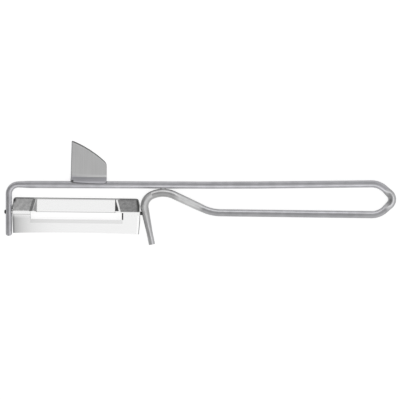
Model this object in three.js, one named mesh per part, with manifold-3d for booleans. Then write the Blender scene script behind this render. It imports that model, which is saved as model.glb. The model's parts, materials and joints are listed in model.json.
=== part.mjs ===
// Swivel vegetable peeler: one bent and welded wire carries a pressed blade that turns on two pivot pins,
// and a sheet-metal eye remover welded to the wire's upper rail.
// Millimetres. The peeler lies flat on a table: +X runs from the blade to the hanging loop,
// +Y towards the eye remover and +Z up. The origin is at the middle of the box's underside.
import * as THREE from "three";
import { mergeVertices } from "three/addons/utils/BufferGeometryUtils.js";
import Module from "manifold-3d";

const wasm = await Module();
wasm.setup();

// Wire frame, drawn along its centre line. X is measured from the left arm and Y from the upper rail.
const WIRE_DIAMETER = 3.4;
const ARM_WIDTH = 2.9; // the left arm and the right arm's end, squeezed narrower
const TIP_WIDTH = 3.8; // the loop's tip, pressed wider
const HOOK_WIDTH = 3.8; // the hook, pressed wider
const OVERALL_LENGTH = 185; // outside of the left arm to the outside of the loop's tip
const LEFT_ARM_DROP = 24.4; // rail to the arm's rounded tip
const LEFT_TIP_HEIGHT = 1.1; // height of the rounding on that tip
const LEFT_CORNER_RADIUS = 4.5;
const RAIL_FULL_AT = 10; // left arm to where the rail has its full width
const RAIL_BOW_AT = 107; // left arm to the lowest point of the rail's slight bow
const RAIL_BOW = 0.4; // how far the rail sinks there
const RAIL_BOW_RADIUS = 1500;
const RAIL_RISE = 0.28; // how far the rail ends above its start, at the loop
const LOOP_DROP = 14.4; // rail's start to the lower shoulder of the loop
const LOOP_TAPER = THREE.MathUtils.degToRad(44);
const LOOP_SHOULDER_RADIUS = 9;
const LOOP_TIP_RADIUS = 3.6;
const THROAT_DROP = 13.4; // rail's start to the bend where the lower rail turns up to the hook
const THROAT_SLOPE = THREE.MathUtils.degToRad(25);
const THROAT_RADIUS = 20;
const HOOK_CREST_RADIUS = 12.7; // the hook's gentle bend under the rail
const HOOK_SIDE_RADIUS = 5.7; // its tighter bend down into the right arm
const HOOK_FALL = THREE.MathUtils.degToRad(23.5); // slope of the wire from one bend to the other
const HOOK_STRAIGHT = 0.3; // length of wire between them
const HOOK_GAP = 0.1; // the hook's crest to the rail, bridged by the weld
const WELD_RADIUS = 1.0;
const RIGHT_ARM_LEAN = THREE.MathUtils.degToRad(11.5);
const RIGHT_ARM_NARROW_DROP = 22.5; // rail to where the arm has narrowed
const RIGHT_ARM_DROP = 28.5; // rail to the arm's cut end

// Pressed blade. Its own frame has the pivot axis along X, with X from the left end of the sheet.
const BLADE_LENGTH = 60.5;
const BLADE_SHEET = 0.6;
const PIVOT_DROP = 13; // rail to the pivot axis at the blade's left end
const PIVOT_FALL = 0.72; // how much lower the axis is at the blade's right end
const LEFT_END_GAP = 0.35; // left arm to the blade
const RIGHT_END_GAP = 0.6; // blade to the right arm
const BACK_REACH = 6.95; // pivot axis to the turned-down back edge
const GUARD_REACH = 10; // pivot axis to the ends of the guard's front edge
const GUARD_HOLLOW = 0.5; // how far the front edge draws back in its middle
const BACK_RIM = 0.7; // radius and height of the turned-down back edge
const EDGE_OFFSET = 0.05; // pivot axis to the crease and cutting edge, towards the back
const EDGE_PROUD = 1.2; // how far the strip is pressed up at the cutting edge
const BACK_PROUD = 0.4; // how far the strip is pressed up at the back edge
const EDGE_BEVEL = 1.6; // width of the ground bevel under the cutting edge
const EDGE_LAND = 0.08; // thickness left at the cutting edge
const SLOT_WIDTH = 3.25;
const SLOT_END_MARGIN = 8.7; // end of the sheet to the end of the slot
const STRIP_MARGIN = 11.6; // end of the sheet to the raised cutting strip
const FACET_TILT = THREE.MathUtils.degToRad(24.5); // fall of the facet at each end of the strip
const LIP_WIDTH = 2; // coined band along the guard's side of the slot
const LIP_LAND = 0.25; // thickness left at the coined lip
const BACK_TILT = THREE.MathUtils.degToRad(5);
const GUARD_TILT = THREE.MathUtils.degToRad(15.5);
const LEFT_TAPER = 0.25; // how far the left end's edges draw in away from the ear
const RIGHT_TAPER = 0.6; // the same at the right end
const CORNER_RADIUS = 1.4;
const EAR_HALF_WIDTH = 3.2; // along the fold
const EAR_RADIUS = 1.55; // round the pivot pin

// Pivot pins, riveted into the blade's ears and turning in the arms.
const PIN_DIAMETER = 1.7;
const PIN_RIVET_RADIUS = 1.1;
const PIN_RIVET_HEIGHT = 0.5;
const PIN_BUTTON_RADIUS = 1.0; // peened outer end of the left pin
const PIN_BUTTON_HEIGHT = 0.6;
const RIGHT_PIN_DEPTH = 2.2; // how far the right pin reaches into its arm
const PIN_END_CHAMFER = 0.25;

// Eye remover, a flat plate whose foot is joggled up over the rail.
const EYE_START = 29.2; // left arm to the plate's left edge at the foot
const EYE_WIDTH = 17.2;
const EYE_SHEET = 0.9;
const EYE_POINT_HEIGHT = 20.8; // rail to the point
const EYE_HEEL_HEIGHT = 10.2; // rail to the corner at the low end of the curved edge
const EYE_EDGE_RADIUS = 50;
const EYE_HEEL_RADIUS = 1.2;
const EYE_FOOT_RADIUS = 1.6; // corners of the foot on the rail
const EYE_FOOT_SETBACK = 0.5; // foot's end to the top of the rail
const EYE_LEAN = 0.6; // how far the left edge leans in at the point
const EYE_BEVEL_WIDTH = 1.1;
const EYE_BEVEL_DEPTH = 0.6;
const EYE_BEND_RADIUS = 0.8; // inside the concave bend at the foot

// Clearances.
const SEAT_GAP = 0.1; // a piece to the piece that it is fixed on
const RUN_GAP = 0.1; // a pin to the bore that it turns in
const BORE_BOTTOM_GAP = 0.4; // the right pin's end to the bottom of its bore
const CUT_MARGIN = 1; // how far a cutting tool reaches past what it cuts

// Facets.
const WIRE_SIDES = 16;
const BEND_STEP = THREE.MathUtils.degToRad(9);
const ROUND_SIDES = 24;
const ARC_SEGMENTS = 16;
const BEVEL_SIDES = 240;

const wireRadius = WIRE_DIAMETER / 2;
const wireCornerRadius = wireRadius / Math.cos(Math.PI / WIRE_SIDES);
const pinRadius = PIN_DIAMETER / 2;
const bladeStart = ARM_WIDTH / 2 + LEFT_END_GAP;
const pivotTilt = Math.asin(PIVOT_FALL / BLADE_LENGTH);
const rightPivotDrop = PIVOT_DROP + PIVOT_FALL;
// The corners of the loop's outline before they are rounded.
const tipX =
  OVERALL_LENGTH - (ARM_WIDTH + TIP_WIDTH) / 2 + LOOP_TIP_RADIUS * (1 / Math.sin(LOOP_TAPER) - 1);
const shoulderX = tipX - (RAIL_RISE + LOOP_DROP) / 2 / Math.tan(LOOP_TAPER);
// Pivot axis to the sheet's crease, just clear of the pins' rivet heads.
const crownHeight =
  (PIN_RIVET_RADIUS + SEAT_GAP + BLADE_SHEET / 2) / Math.cos(GUARD_TILT) +
  EDGE_OFFSET * Math.tan(GUARD_TILT);
const rightArmAtPivot =
  bladeStart + BLADE_LENGTH + RIGHT_END_GAP + HOOK_WIDTH / 2 / Math.cos(RIGHT_ARM_LEAN);

// Solids.

function toManifold(geometry) {
  const bare = geometry.clone();
  bare.deleteAttribute("normal");
  bare.deleteAttribute("uv");
  const merged = mergeVertices(bare, 1e-4);
  return new wasm.Manifold(
    new wasm.Mesh({
      numProp: 3,
      vertProperties: merged.attributes.position.array,
      triVerts: new Uint32Array(merged.index.array),
    }),
  );
}

function toGeometry(manifold) {
  const mesh = manifold.getMesh();
  const geometry = new THREE.BufferGeometry();
  geometry.setAttribute("position", new THREE.BufferAttribute(mesh.vertProperties, 3));
  geometry.setIndex(new THREE.BufferAttribute(mesh.triVerts, 1));
  geometry.computeVertexNormals();
  return geometry;
}

// A cylinder on the X axis from x0 to x1, whose flats lie at the given radius.
function boreAlongX(radius, x0, x1) {
  const corner = radius / Math.cos(Math.PI / ROUND_SIDES);
  return new THREE.CylinderGeometry(corner, corner, x1 - x0, ROUND_SIDES)
    .rotateZ(Math.PI / 2)
    .translate((x0 + x1) / 2, 0, 0);
}

// A solid of revolution about X from [x, radius] pairs, which start and end on the axis.
function turnedAlongX(profile) {
  const points = profile.map(([x, radius]) => new THREE.Vector2(radius, x));
  return new THREE.LatheGeometry(points, ROUND_SIDES).rotateZ(-Math.PI / 2);
}

// A flat outline in X and Y as a prism from z0 to z1.
function prism(shape, z0, z1) {
  return new THREE.ExtrudeGeometry(shape, {
    depth: z1 - z0,
    bevelEnabled: false,
    curveSegments: ARC_SEGMENTS,
  }).translate(0, 0, z0);
}

// A section drawn in (y, z) and extruded along X from x0 to x1.
function sectionAlongX(shape, x0, x1) {
  const axes = new THREE.Matrix4().makeBasis(
    new THREE.Vector3(0, 1, 0),
    new THREE.Vector3(0, 0, 1),
    new THREE.Vector3(1, 0, 0),
  );
  return new THREE.ExtrudeGeometry(shape, {
    depth: x1 - x0,
    bevelEnabled: false,
    curveSegments: ARC_SEGMENTS,
  })
    .applyMatrix4(axes)
    .translate(x0, 0, 0);
}

// Wire frame.

// A tube through the stations, round in section and scaled sideways to each station's width.
function sweptWire(stations) {
  const ringPoint = ({ point, tangent, width }, k) => {
    const angle = ((k + 0.5) * 2 * Math.PI) / WIRE_SIDES;
    const side = (Math.cos(angle) * wireCornerRadius * width) / WIRE_DIAMETER;
    const up = Math.sin(angle) * wireCornerRadius;
    return [point.x - tangent.y * side, point.y + tangent.x * side, up];
  };
  const positions = stations.flatMap((station) =>
    Array.from({ length: WIRE_SIDES }, (_, k) => ringPoint(station, k)).flat(),
  );
  const index = [];
  for (let s = 0; s < stations.length - 1; s += 1) {
    for (let k = 0; k < WIRE_SIDES; k += 1) {
      const next = (k + 1) % WIRE_SIDES;
      const [a, b] = [s * WIRE_SIDES + k, s * WIRE_SIDES + next];
      const [c, d] = [a + WIRE_SIDES, b + WIRE_SIDES];
      index.push(a, b, c, b, d, c);
    }
  }
  const last = (stations.length - 1) * WIRE_SIDES;
  for (let k = 1; k < WIRE_SIDES - 1; k += 1) {
    index.push(0, k + 1, k, last, last + k, last + k + 1);
  }
  const tube = new THREE.BufferGeometry();
  tube.setAttribute("position", new THREE.Float32BufferAttribute(positions, 3));
  tube.setIndex(index);
  return tube;
}

// The stations of a line through the corners, each rounded by an arc of its own radius, if it has one.
function roundedStations(corners) {
  const stations = [];
  const directionFrom = (i) => corners[i + 1].at.clone().sub(corners[i].at).normalize();
  corners.forEach(({ at, radius, width }, i) => {
    const before = directionFrom(Math.max(i - 1, 0));
    const after = directionFrom(Math.min(i, corners.length - 2));
    if (!radius) {
      stations.push({ point: at, tangent: before.add(after).normalize(), width });
      return;
    }
    const turn = Math.atan2(before.cross(after), before.dot(after));
    const reach = radius * Math.tan(Math.abs(turn) / 2);
    const start = at.clone().addScaledVector(before, -reach);
    const side = new THREE.Vector2(-before.y, before.x).multiplyScalar(Math.sign(turn));
    const centre = start.clone().addScaledVector(side, radius);
    const steps = Math.ceil(Math.abs(turn) / BEND_STEP);
    for (let k = 0; k <= steps; k += 1) {
      const angle = (turn * k) / steps;
      stations.push({
        point: start.clone().rotateAround(centre, angle),
        tangent: before.clone().rotateAround(new THREE.Vector2(), angle),
        width,
      });
    }
  });
  return stations;
}

// The point where two lines meet, each given by a point and a direction.
function crossing(p, d, q, e) {
  const t = (q.clone().sub(p).cross(e)) / d.cross(e);
  return p.clone().addScaledVector(d, t);
}

function wireCorners() {
  const armDown = new THREE.Vector2(Math.sin(RIGHT_ARM_LEAN), -Math.cos(RIGHT_ARM_LEAN));
  const armAtPivot = new THREE.Vector2(rightArmAtPivot, -rightPivotDrop);
  const slopeDown = new THREE.Vector2(Math.cos(THROAT_SLOPE), -Math.sin(THROAT_SLOPE));
  const fallDown = new THREE.Vector2(-Math.cos(HOOK_FALL), -Math.sin(HOOK_FALL));
  const onCrest = (angle) =>
    new THREE.Vector2(Math.sin(angle), Math.cos(angle))
      .multiplyScalar(HOOK_CREST_RADIUS)
      .add(hookCrestCentre());
  const slopeStart = onCrest(THROAT_SLOPE);
  const fallStart = onCrest(-HOOK_FALL);
  const level = new THREE.Vector2(1, 0);
  const atDrop = (drop) => new THREE.Vector2(0, -drop);
  const onRail = (x) => new THREE.Vector2(x, railHeightAt(x));
  const corner = (at, width, radius) => ({ at, width, radius });

  return [
    corner(atDrop(LEFT_ARM_DROP - LEFT_TIP_HEIGHT), ARM_WIDTH),
    corner(onRail(0), ARM_WIDTH, LEFT_CORNER_RADIUS),
    corner(onRail(RAIL_FULL_AT), WIRE_DIAMETER),
    corner(onRail(RAIL_BOW_AT), WIRE_DIAMETER, RAIL_BOW_RADIUS),
    corner(onRail(shoulderX), WIRE_DIAMETER, LOOP_SHOULDER_RADIUS),
    corner(new THREE.Vector2(tipX, (RAIL_RISE - LOOP_DROP) / 2), TIP_WIDTH, LOOP_TIP_RADIUS),
    corner(new THREE.Vector2(shoulderX, -LOOP_DROP), WIRE_DIAMETER, LOOP_SHOULDER_RADIUS),
    corner(crossing(slopeStart, slopeDown, atDrop(THROAT_DROP), level), WIRE_DIAMETER, THROAT_RADIUS),
    corner(crossing(slopeStart, slopeDown, fallStart, fallDown), HOOK_WIDTH, HOOK_CREST_RADIUS),
    corner(crossing(fallStart, fallDown, armAtPivot, armDown), HOOK_WIDTH, HOOK_SIDE_RADIUS),
    corner(crossing(armAtPivot, armDown, atDrop(RIGHT_ARM_NARROW_DROP), level), ARM_WIDTH),
    corner(crossing(armAtPivot, armDown, atDrop(RIGHT_ARM_DROP), level), ARM_WIDTH),
  ];
}

// Centre of the hook's crest, which lies under the rail. The side bend's centre is found from it,
// so that the side bend runs into the right arm.
function hookCrestCentre() {
  const crestDrop = wireRadius + HOOK_GAP + HOOK_WIDTH / 2;
  const y = railHeightAt(rightArmAtPivot + HOOK_SIDE_RADIUS) - crestDrop - HOOK_CREST_RADIUS;
  const inset = HOOK_CREST_RADIUS - HOOK_SIDE_RADIUS;
  const left = inset * Math.sin(HOOK_FALL) + HOOK_STRAIGHT * Math.cos(HOOK_FALL);
  const up = inset * Math.cos(HOOK_FALL) - HOOK_STRAIGHT * Math.sin(HOOK_FALL);
  const reach = HOOK_SIDE_RADIUS - (y + up + rightPivotDrop) * Math.sin(RIGHT_ARM_LEAN);
  return new THREE.Vector2(rightArmAtPivot + reach / Math.cos(RIGHT_ARM_LEAN) + left, y);
}

// The rail's centre line, which sinks a little to the lowest point of its bow and climbs from there.
function railHeightAt(x) {
  if (x < RAIL_BOW_AT) return (-RAIL_BOW * x) / RAIL_BOW_AT;
  return THREE.MathUtils.mapLinear(x, RAIL_BOW_AT, shoulderX, -RAIL_BOW, RAIL_RISE);
}

// The left arm's rounded tip, which runs a little way up inside the arm.
function armTip() {
  const profile = [new THREE.Vector2(0, -LEFT_TIP_HEIGHT)];
  for (let k = 1; k <= ARC_SEGMENTS; k += 1) {
    const angle = (k / ARC_SEGMENTS) * (Math.PI / 2);
    profile.push(new THREE.Vector2(wireRadius * Math.sin(angle), -LEFT_TIP_HEIGHT * Math.cos(angle)));
  }
  profile.push(new THREE.Vector2(wireRadius, CUT_MARGIN), new THREE.Vector2(0, CUT_MARGIN));
  return new THREE.LatheGeometry(profile, WIRE_SIDES)
    .scale(ARM_WIDTH / WIRE_DIAMETER, 1, 1)
    .translate(0, -LEFT_ARM_DROP + LEFT_TIP_HEIGHT, 0);
}

// A bore for a pin along the blade's tilted axis, from x0 to x1 in the blade's frame.
function pinBore(x0, x1) {
  return boreAlongX(pinRadius + RUN_GAP, x0, x1)
    .rotateZ(-pivotTilt)
    .translate(bladeStart, -PIVOT_DROP, 0);
}

function wireFrame() {
  const tube = sweptWire(roundedStations(wireCorners()));
  const crest = hookCrestCentre();
  const weldReach = HOOK_CREST_RADIUS + HOOK_WIDTH / 2 + HOOK_GAP / 2;
  const weld = new THREE.SphereGeometry(WELD_RADIUS, ARC_SEGMENTS, ARC_SEGMENTS / 2)
    .translate(crest.x, crest.y + weldReach, 0);
  const leftBore = pinBore(-LEFT_END_GAP - ARM_WIDTH - CUT_MARGIN, 0);
  const rightBore = pinBore(BLADE_LENGTH, BLADE_LENGTH + RIGHT_END_GAP + RIGHT_PIN_DEPTH + BORE_BOTTOM_GAP);

  return toGeometry(
    toManifold(tube)
      .add(toManifold(armTip()))
      .add(toManifold(weld))
      .subtract(toManifold(leftBore))
      .subtract(toManifold(rightBore)),
  );
}

// Blade.

const guardHeightAt = (y) => crownHeight - (EDGE_OFFSET - y) * Math.tan(GUARD_TILT);
const backHeightAt = (y) => crownHeight - (y - EDGE_OFFSET) * Math.tan(BACK_TILT);

// The sheet as a grid of columns along X and rows across it. Each node has a top and a bottom height,
// and the cells of the slot are left out.
function bladeSheet() {
  const half = BLADE_SHEET / 2;
  const slotColumns = [1, 6];
  const stripColumns = [3, 4];
  const lastColumn = 7;
  const inside = (i, [from, to]) => i >= from && i <= to;

  const rimTop = BACK_REACH - BACK_RIM;
  const rows = [
    BACK_REACH,
    BACK_REACH - BACK_RIM * (1 - Math.SQRT1_2),
    rimTop,
    EDGE_OFFSET + EDGE_BEVEL,
    EDGE_OFFSET,
    EDGE_OFFSET - SLOT_WIDTH,
    EDGE_OFFSET - SLOT_WIDTH - LIP_WIDTH,
    -GUARD_REACH,
  ];
  const rimDrop = [BACK_RIM, BACK_RIM * (1 - Math.SQRT1_2), 0];
  const edgeRow = 4;
  const lipRow = 5;

  // How far the strip is pressed up at a row. The facets fall from there to the tabs.
  const pressAt = (j) => {
    const share = THREE.MathUtils.clamp((rimTop - rows[j]) / (rimTop - EDGE_OFFSET), 0, 1);
    return THREE.MathUtils.lerp(BACK_PROUD, EDGE_PROUD, share);
  };
  const columnAt = (i, j) => {
    const facetFoot = STRIP_MARGIN - pressAt(j) / Math.tan(FACET_TILT);
    const ends = [-CUT_MARGIN, SLOT_END_MARGIN, facetFoot, STRIP_MARGIN];
    return i < ends.length ? ends[i] : BLADE_LENGTH - ends[lastColumn - i];
  };
  const node = (i, j) => {
    const [x, y] = [columnAt(i, j), rows[j]];
    if (j > edgeRow) {
      const lip = j === lipRow && inside(i, slotColumns);
      const bottom = guardHeightAt(y) - half;
      return { x, y, bottom, top: bottom + (lip ? LIP_LAND : BLADE_SHEET) };
    }
    const onStrip = inside(i, stripColumns);
    const middle = backHeightAt(y) - (rimDrop[j] ?? 0) + (onStrip ? pressAt(j) : 0);
    const sharp = j === edgeRow && onStrip;
    return { x, y, top: middle + half, bottom: sharp ? middle + half - EDGE_LAND : middle - half };
  };
  const open = (i, j) => j === edgeRow && i >= slotColumns[0] && i < slotColumns[1];

  const positions = [];
  const face = (a, b, c) => positions.push(...a, ...b, ...c);
  const point = (i, j, side) => [node(i, j).x, node(i, j).y, node(i, j)[side]];
  const skin = (i, j) => {
    const [a, b] = [[i, j], [i + 1, j]];
    const [c, d] = [[i, j + 1], [i + 1, j + 1]];
    [[a, c, b], [b, c, d]].forEach(([p, q, r]) => {
      face(point(...p, "top"), point(...q, "top"), point(...r, "top"));
      face(point(...p, "bottom"), point(...r, "bottom"), point(...q, "bottom"));
    });
  };
  // A wall between two neighbouring nodes, facing right of the way from p to q.
  const wall = (p, q) => {
    face(point(...p, "bottom"), point(...q, "bottom"), point(...q, "top"));
    face(point(...p, "bottom"), point(...q, "top"), point(...p, "top"));
  };
  const isThere = (i, j) =>
    i >= 0 && j >= 0 && i < lastColumn && j < rows.length - 1 && !open(i, j);
  for (let i = 0; i < lastColumn; i += 1) {
    for (let j = 0; j < rows.length - 1; j += 1) {
      if (!isThere(i, j)) continue;
      skin(i, j);
      if (!isThere(i, j - 1)) wall([i + 1, j], [i, j]);
      if (!isThere(i, j + 1)) wall([i, j + 1], [i + 1, j + 1]);
      if (!isThere(i - 1, j)) wall([i, j], [i, j + 1]);
      if (!isThere(i + 1, j)) wall([i + 1, j + 1], [i + 1, j]);
    }
  }
  return new THREE.BufferGeometry().setAttribute(
    "position",
    new THREE.Float32BufferAttribute(positions, 3),
  );
}

// The sheet's outline seen from above: square at the ears, drawn in beyond them, round at the back corners
// and a little hollow along the front.
function bladeOutline() {
  const shape = new THREE.Shape();
  const [left, right] = [LEFT_TAPER, BLADE_LENGTH - RIGHT_TAPER];
  const front = -GUARD_REACH;
  const cornerStart = BACK_REACH - CORNER_RADIUS;
  shape.moveTo(left, front);
  shape.quadraticCurveTo((left + right) / 2, front + 2 * GUARD_HOLLOW, right, front);
  shape.lineTo(BLADE_LENGTH, -EAR_HALF_WIDTH);
  shape.lineTo(BLADE_LENGTH, EAR_HALF_WIDTH);
  shape.lineTo(right, cornerStart);
  shape.quadraticCurveTo(right, BACK_REACH, right - CORNER_RADIUS, BACK_REACH);
  shape.lineTo(left + CORNER_RADIUS, BACK_REACH);
  shape.quadraticCurveTo(left, BACK_REACH, left, cornerStart);
  shape.lineTo(0, EAR_HALF_WIDTH);
  shape.lineTo(0, -EAR_HALF_WIDTH);
  shape.closePath();
  return shape;
}

// The ear's outline in (y, z): it hangs from the sheet and is round below the pivot.
function earOutline() {
  const shape = new THREE.Shape();
  shape.moveTo(EDGE_OFFSET, crownHeight);
  shape.lineTo(-EAR_HALF_WIDTH, guardHeightAt(-EAR_HALF_WIDTH));
  shape.lineTo(-EAR_RADIUS, 0);
  shape.absarc(0, 0, EAR_RADIUS, Math.PI, 2 * Math.PI, false);
  shape.lineTo(EAR_HALF_WIDTH, backHeightAt(EAR_HALF_WIDTH));
  shape.closePath();
  return shape;
}

function blade() {
  const reach = BACK_REACH + GUARD_REACH;
  const sheet = toManifold(bladeSheet()).intersect(toManifold(prism(bladeOutline(), -reach, reach)));
  const ear = earOutline();
  const leftEar = sectionAlongX(ear, 0, BLADE_SHEET);
  const rightEar = sectionAlongX(ear, BLADE_LENGTH - BLADE_SHEET, BLADE_LENGTH);
  const hole = boreAlongX(pinRadius + SEAT_GAP, -CUT_MARGIN, BLADE_LENGTH + CUT_MARGIN);
  const ears = toManifold(leftEar).add(toManifold(rightEar)).subtract(toManifold(hole));
  return toGeometry(sheet.add(ears));
}

// Pivot pins. Each profile runs outwards from the rivet head, with X from the ear's outer face.

function rivetProfile() {
  const headStart = BLADE_SHEET + SEAT_GAP;
  return [
    [-headStart - PIN_RIVET_HEIGHT, 0],
    [-headStart - PIN_RIVET_HEIGHT, pinRadius],
    [-headStart - PIN_RIVET_HEIGHT / 2, PIN_RIVET_RADIUS],
    [-headStart, PIN_RIVET_RADIUS],
    [-headStart, pinRadius],
  ];
}

function leftPin() {
  const armOutside = LEFT_END_GAP + ARM_WIDTH + SEAT_GAP;
  return turnedAlongX([
    ...rivetProfile(),
    [armOutside, pinRadius],
    [armOutside, PIN_BUTTON_RADIUS],
    [armOutside + PIN_BUTTON_HEIGHT / 2, PIN_BUTTON_RADIUS],
    [armOutside + PIN_BUTTON_HEIGHT, pinRadius / 2],
    [armOutside + PIN_BUTTON_HEIGHT, 0],
  ]).rotateY(Math.PI);
}

function rightPin() {
  const end = RIGHT_END_GAP + RIGHT_PIN_DEPTH;
  return turnedAlongX([
    ...rivetProfile(),
    [end - PIN_END_CHAMFER, pinRadius],
    [end, pinRadius - PIN_END_CHAMFER],
    [end, 0],
  ]);
}

// Eye remover.

// Centre of the curved edge, so that it runs from the point to the heel.
function eyeEdgeCentre() {
  const point = new THREE.Vector2(EYE_LEAN, EYE_POINT_HEIGHT);
  const heel = new THREE.Vector2(EYE_WIDTH, EYE_HEEL_HEIGHT);
  const chord = heel.clone().sub(point);
  const sag = Math.sqrt(EYE_EDGE_RADIUS ** 2 - chord.lengthSq() / 4);
  const inward = new THREE.Vector2(chord.y, -chord.x).normalize();
  return point.add(heel).multiplyScalar(0.5).addScaledVector(inward, sag);
}

function eyeOutline() {
  const centre = eyeEdgeCentre();
  const startAngle = Math.atan2(EYE_POINT_HEIGHT - centre.y, EYE_LEAN - centre.x);
  const endAngle = Math.atan2(EYE_HEEL_HEIGHT - centre.y, EYE_WIDTH - centre.x);
  const heelAngle = endAngle + EYE_HEEL_RADIUS / EYE_EDGE_RADIUS;
  const foot = EYE_FOOT_SETBACK;
  const shape = new THREE.Shape();
  shape.moveTo(0, foot + EYE_FOOT_RADIUS);
  shape.lineTo(EYE_LEAN, EYE_POINT_HEIGHT);
  shape.absarc(centre.x, centre.y, EYE_EDGE_RADIUS, startAngle, heelAngle, true);
  shape.quadraticCurveTo(EYE_WIDTH, EYE_HEEL_HEIGHT, EYE_WIDTH, EYE_HEEL_HEIGHT - EYE_HEEL_RADIUS);
  shape.lineTo(EYE_WIDTH, foot + EYE_FOOT_RADIUS);
  shape.quadraticCurveTo(EYE_WIDTH, foot, EYE_WIDTH - EYE_FOOT_RADIUS, foot);
  shape.lineTo(EYE_FOOT_RADIUS, foot);
  shape.quadraticCurveTo(0, foot, 0, foot + EYE_FOOT_RADIUS);
  return shape;
}

// The folded sheet's section in (y, z) about the rail's centre: the foot lies over the rail,
// falls away at 45 degrees and bends out into the plate, whose top is level with the rail's centre.
function eyeSection() {
  const inner = wireCornerRadius + SEAT_GAP;
  const outer = inner + EYE_SHEET;
  const plateTop = 0;
  const plateBottom = plateTop - EYE_SHEET;
  const topBend = outer * Math.SQRT2 - plateTop;
  const bottomBend = inner * Math.SQRT2 - plateBottom;
  const run = EYE_BEND_RADIUS * Math.tan(Math.PI / 8);
  const outerRun = (EYE_BEND_RADIUS + EYE_SHEET) * Math.tan(Math.PI / 8);
  const tip = EYE_POINT_HEIGHT + CUT_MARGIN;
  const shape = new THREE.Shape();
  shape.moveTo(0, inner);
  shape.absarc(0, 0, inner, Math.PI / 2, Math.PI / 4, true);
  shape.lineTo(bottomBend - outerRun * Math.SQRT1_2, plateBottom + outerRun * Math.SQRT1_2);
  shape.quadraticCurveTo(bottomBend, plateBottom, bottomBend + outerRun, plateBottom);
  shape.lineTo(tip, plateBottom);
  shape.lineTo(tip, plateTop);
  shape.lineTo(topBend + run, plateTop);
  shape.quadraticCurveTo(topBend, plateTop, topBend - run * Math.SQRT1_2, plateTop + run * Math.SQRT1_2);
  shape.absarc(0, 0, outer, Math.PI / 4, Math.PI / 2, false);
  shape.closePath();
  return shape;
}

// The grinding cut along the curved edge: a ring whose inner wall is the bevel.
function eyeBevelCut() {
  const centre = eyeEdgeCentre();
  const slope = EYE_BEVEL_DEPTH / EYE_BEVEL_WIDTH;
  const inner = EYE_EDGE_RADIUS - EYE_BEVEL_WIDTH - CUT_MARGIN;
  const outer = EYE_EDGE_RADIUS + CUT_MARGIN;
  const ring = [
    [inner, CUT_MARGIN * slope],
    [outer, -EYE_BEVEL_DEPTH - CUT_MARGIN * slope],
    [outer, CUT_MARGIN * slope],
    [inner, CUT_MARGIN * slope],
  ];
  return new THREE.LatheGeometry(
    ring.map(([radius, height]) => new THREE.Vector2(radius, height)),
    BEVEL_SIDES,
  )
    .rotateX(Math.PI / 2)
    .translate(centre.x, centre.y, 0);
}

function eyeRemover() {
  const reach = EYE_POINT_HEIGHT;
  const folded = sectionAlongX(eyeSection(), -CUT_MARGIN, EYE_WIDTH + CUT_MARGIN);
  const outline = prism(eyeOutline(), -reach, reach);
  return toGeometry(
    toManifold(folded).intersect(toManifold(outline)).subtract(toManifold(eyeBevelCut())),
  );
}

// Assembly.

const satinWire = new THREE.MeshStandardMaterial({ color: 0xa3a3a8, roughness: 0.42, metalness: 1 });
const satinPlate = new THREE.MeshStandardMaterial({ color: 0xaeaeb1, roughness: 0.45, metalness: 1 });
const polishedBlade = new THREE.MeshStandardMaterial({ color: 0xe4e4e4, roughness: 0.14, metalness: 1 });
const darkPin = new THREE.MeshStandardMaterial({ color: 0x4a4a4c, roughness: 0.4, metalness: 1 });

function piece(name, geometry, material) {
  const mesh = new THREE.Mesh(geometry, material);
  mesh.name = name;
  return mesh;
}

const bladeUnit = new THREE.Group();
bladeUnit.add(piece("blade", blade(), polishedBlade));
bladeUnit.add(piece("left_pivot_pin", leftPin(), darkPin));
const rightPivotPin = piece("right_pivot_pin", rightPin(), darkPin);
rightPivotPin.position.x = BLADE_LENGTH;
bladeUnit.add(rightPivotPin);
bladeUnit.position.set(bladeStart, -PIVOT_DROP, 0);
bladeUnit.rotation.z = -pivotTilt;

const remover = piece("eye_remover", eyeRemover(), satinPlate);
remover.position.set(EYE_START, railHeightAt(EYE_START + EYE_WIDTH / 2), 0);

const frame = new THREE.Group();
frame.add(piece("wire_frame", wireFrame(), satinWire), remover, bladeUnit);

// Put the origin at the middle of the underside.
const box = new THREE.Box3().setFromObject(frame, true);
const middle = box.getCenter(new THREE.Vector3());
frame.position.set(-middle.x, -middle.y, -box.min.z);

const peeler = new THREE.Group();
peeler.add(frame);

export default peeler;
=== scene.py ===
"""Looks of a swivel vegetable peeler, built on its CAD frame and seen from straight above."""

import json
from math import asin, atan2, ceil, copysign, cos, pi, radians, sin, sqrt, tan
from typing import NamedTuple

import bmesh
import bpy
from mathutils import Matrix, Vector, noise


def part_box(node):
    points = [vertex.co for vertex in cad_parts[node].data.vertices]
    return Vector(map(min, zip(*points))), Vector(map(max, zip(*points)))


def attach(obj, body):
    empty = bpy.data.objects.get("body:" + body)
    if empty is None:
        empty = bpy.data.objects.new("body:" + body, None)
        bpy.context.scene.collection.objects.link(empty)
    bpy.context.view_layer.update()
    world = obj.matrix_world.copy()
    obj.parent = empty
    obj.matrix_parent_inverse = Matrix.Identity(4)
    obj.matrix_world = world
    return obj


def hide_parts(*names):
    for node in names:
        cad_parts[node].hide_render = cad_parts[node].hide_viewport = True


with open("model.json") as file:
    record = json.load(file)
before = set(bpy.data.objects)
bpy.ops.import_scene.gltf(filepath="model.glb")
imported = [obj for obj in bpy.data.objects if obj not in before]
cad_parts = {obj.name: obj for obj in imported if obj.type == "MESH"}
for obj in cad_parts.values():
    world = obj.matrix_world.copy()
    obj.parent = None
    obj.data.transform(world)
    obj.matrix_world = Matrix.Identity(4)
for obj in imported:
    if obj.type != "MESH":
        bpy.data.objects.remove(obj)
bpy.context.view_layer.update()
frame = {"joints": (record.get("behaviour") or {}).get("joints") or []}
scene = bpy.context.scene

MM = 0.001

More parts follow.
